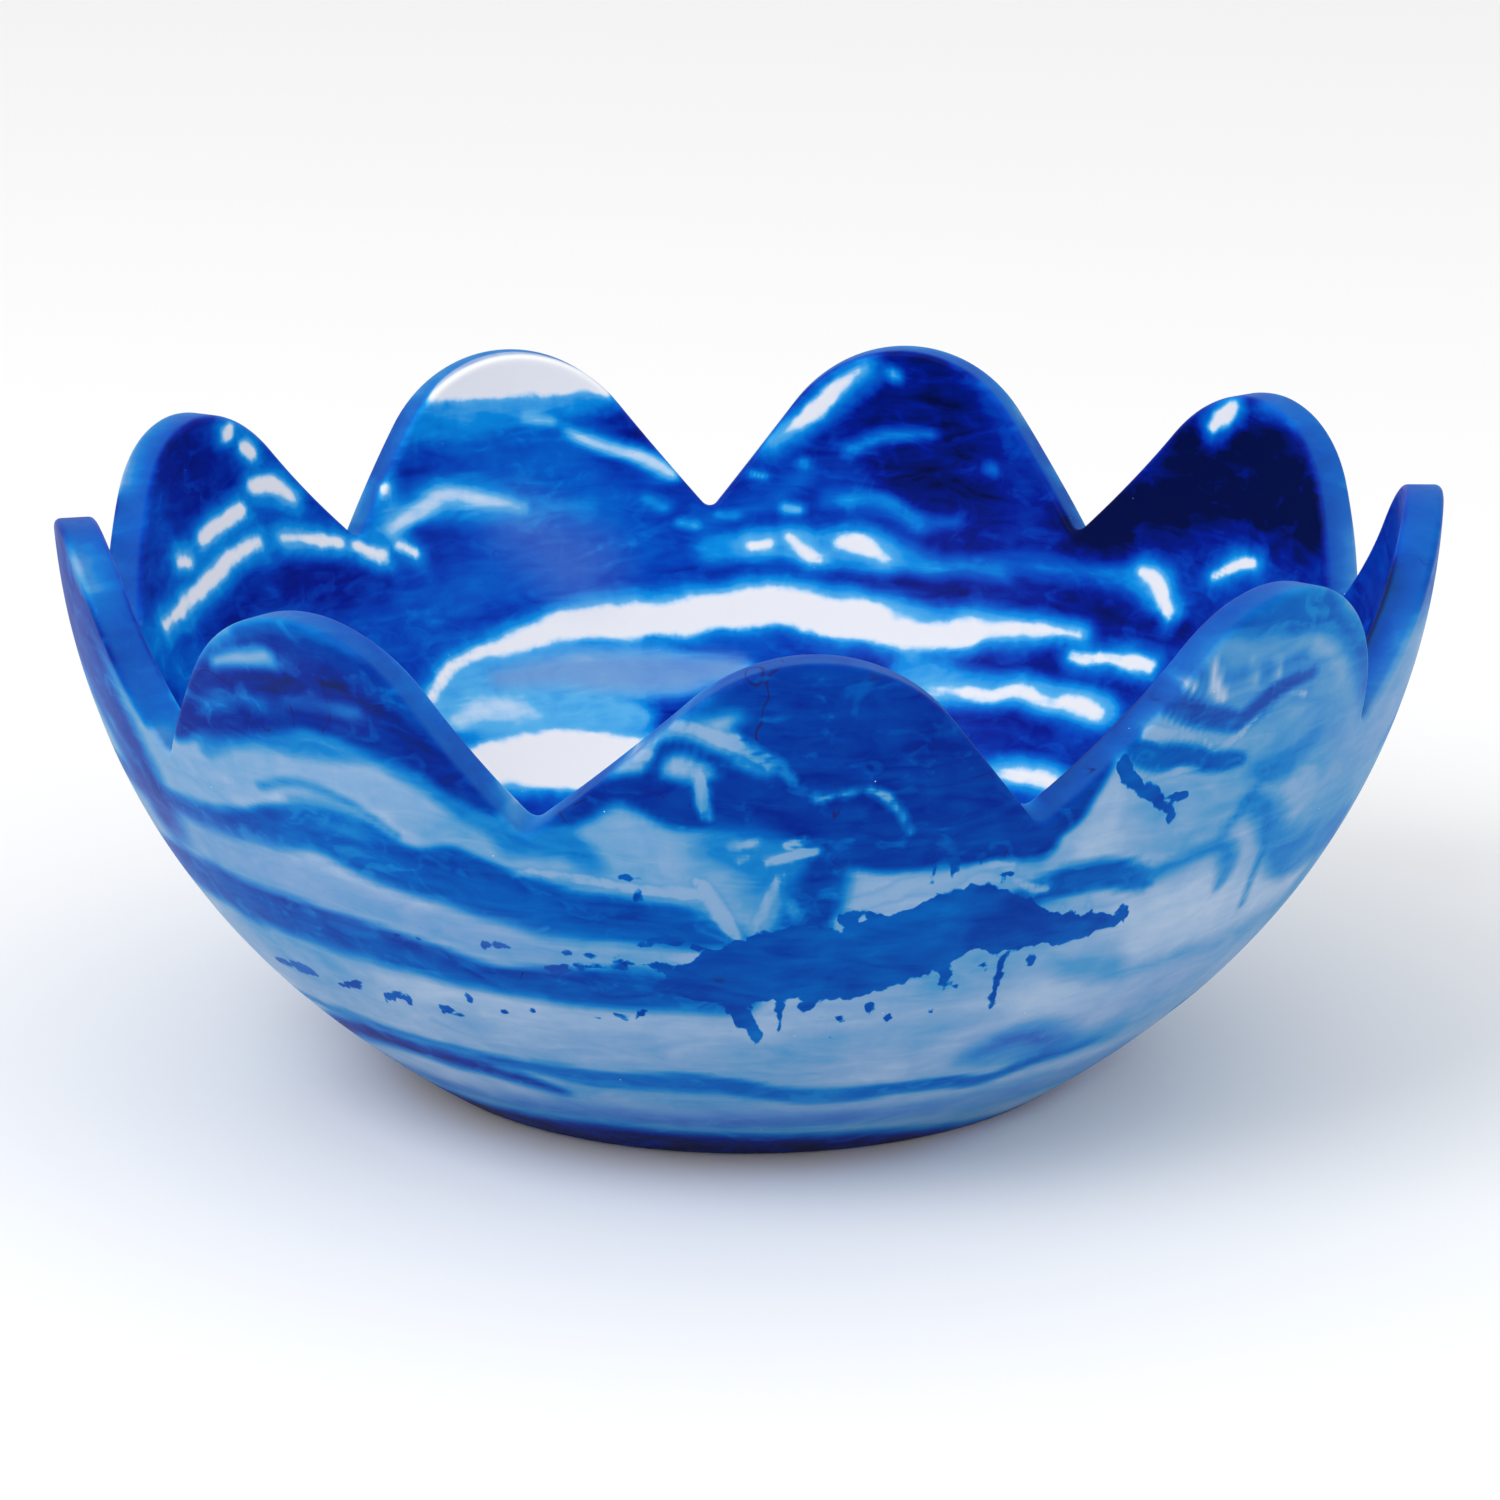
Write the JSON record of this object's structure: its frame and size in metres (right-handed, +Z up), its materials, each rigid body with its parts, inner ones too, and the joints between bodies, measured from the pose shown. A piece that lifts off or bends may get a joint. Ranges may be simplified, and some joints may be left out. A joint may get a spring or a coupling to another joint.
{
  "type": "petal bowl",
  "caption": "Round open bowl of marbled blue and milky cast resin, with a flat foot, a curved wall and a rim cut into rounded petals; holds fruit or stands as a centrepiece.",
  "frame": {"origin": "centre of the flat foot, on the face that rests on the table", "axes": "+Z up along the bowl's axis, out of its mouth; the first petal points along -Y"},
  "size_m": [0.2793, 0.2776, 0.1215],
  "materials": {
    "cobalt_resin": "satin",
    "azure_resin": "satin",
    "milky_resin": "satin",
    "lilac_resin": "satin"
  },
  "bodies": {
    "root": {"foot_pour": "cobalt_resin", "lilac_pour": "lilac_resin", "thin_azure_pour": "azure_resin", "wide_milky_pour": "milky_resin", "waist_cobalt_pour": "cobalt_resin", "narrow_milky_pour": "milky_resin", "shoulder_azure_pour": "azure_resin", "petal_1": "cobalt_resin", "petal_2": "milky_resin", "petal_3": "azure_resin", "petal_4": "cobalt_resin", "petal_5": "cobalt_resin", "petal_6": "azure_resin", "petal_7": "cobalt_resin", "petal_8": "azure_resin", "petal_9": "cobalt_resin"}
  },
  "joints": []
}
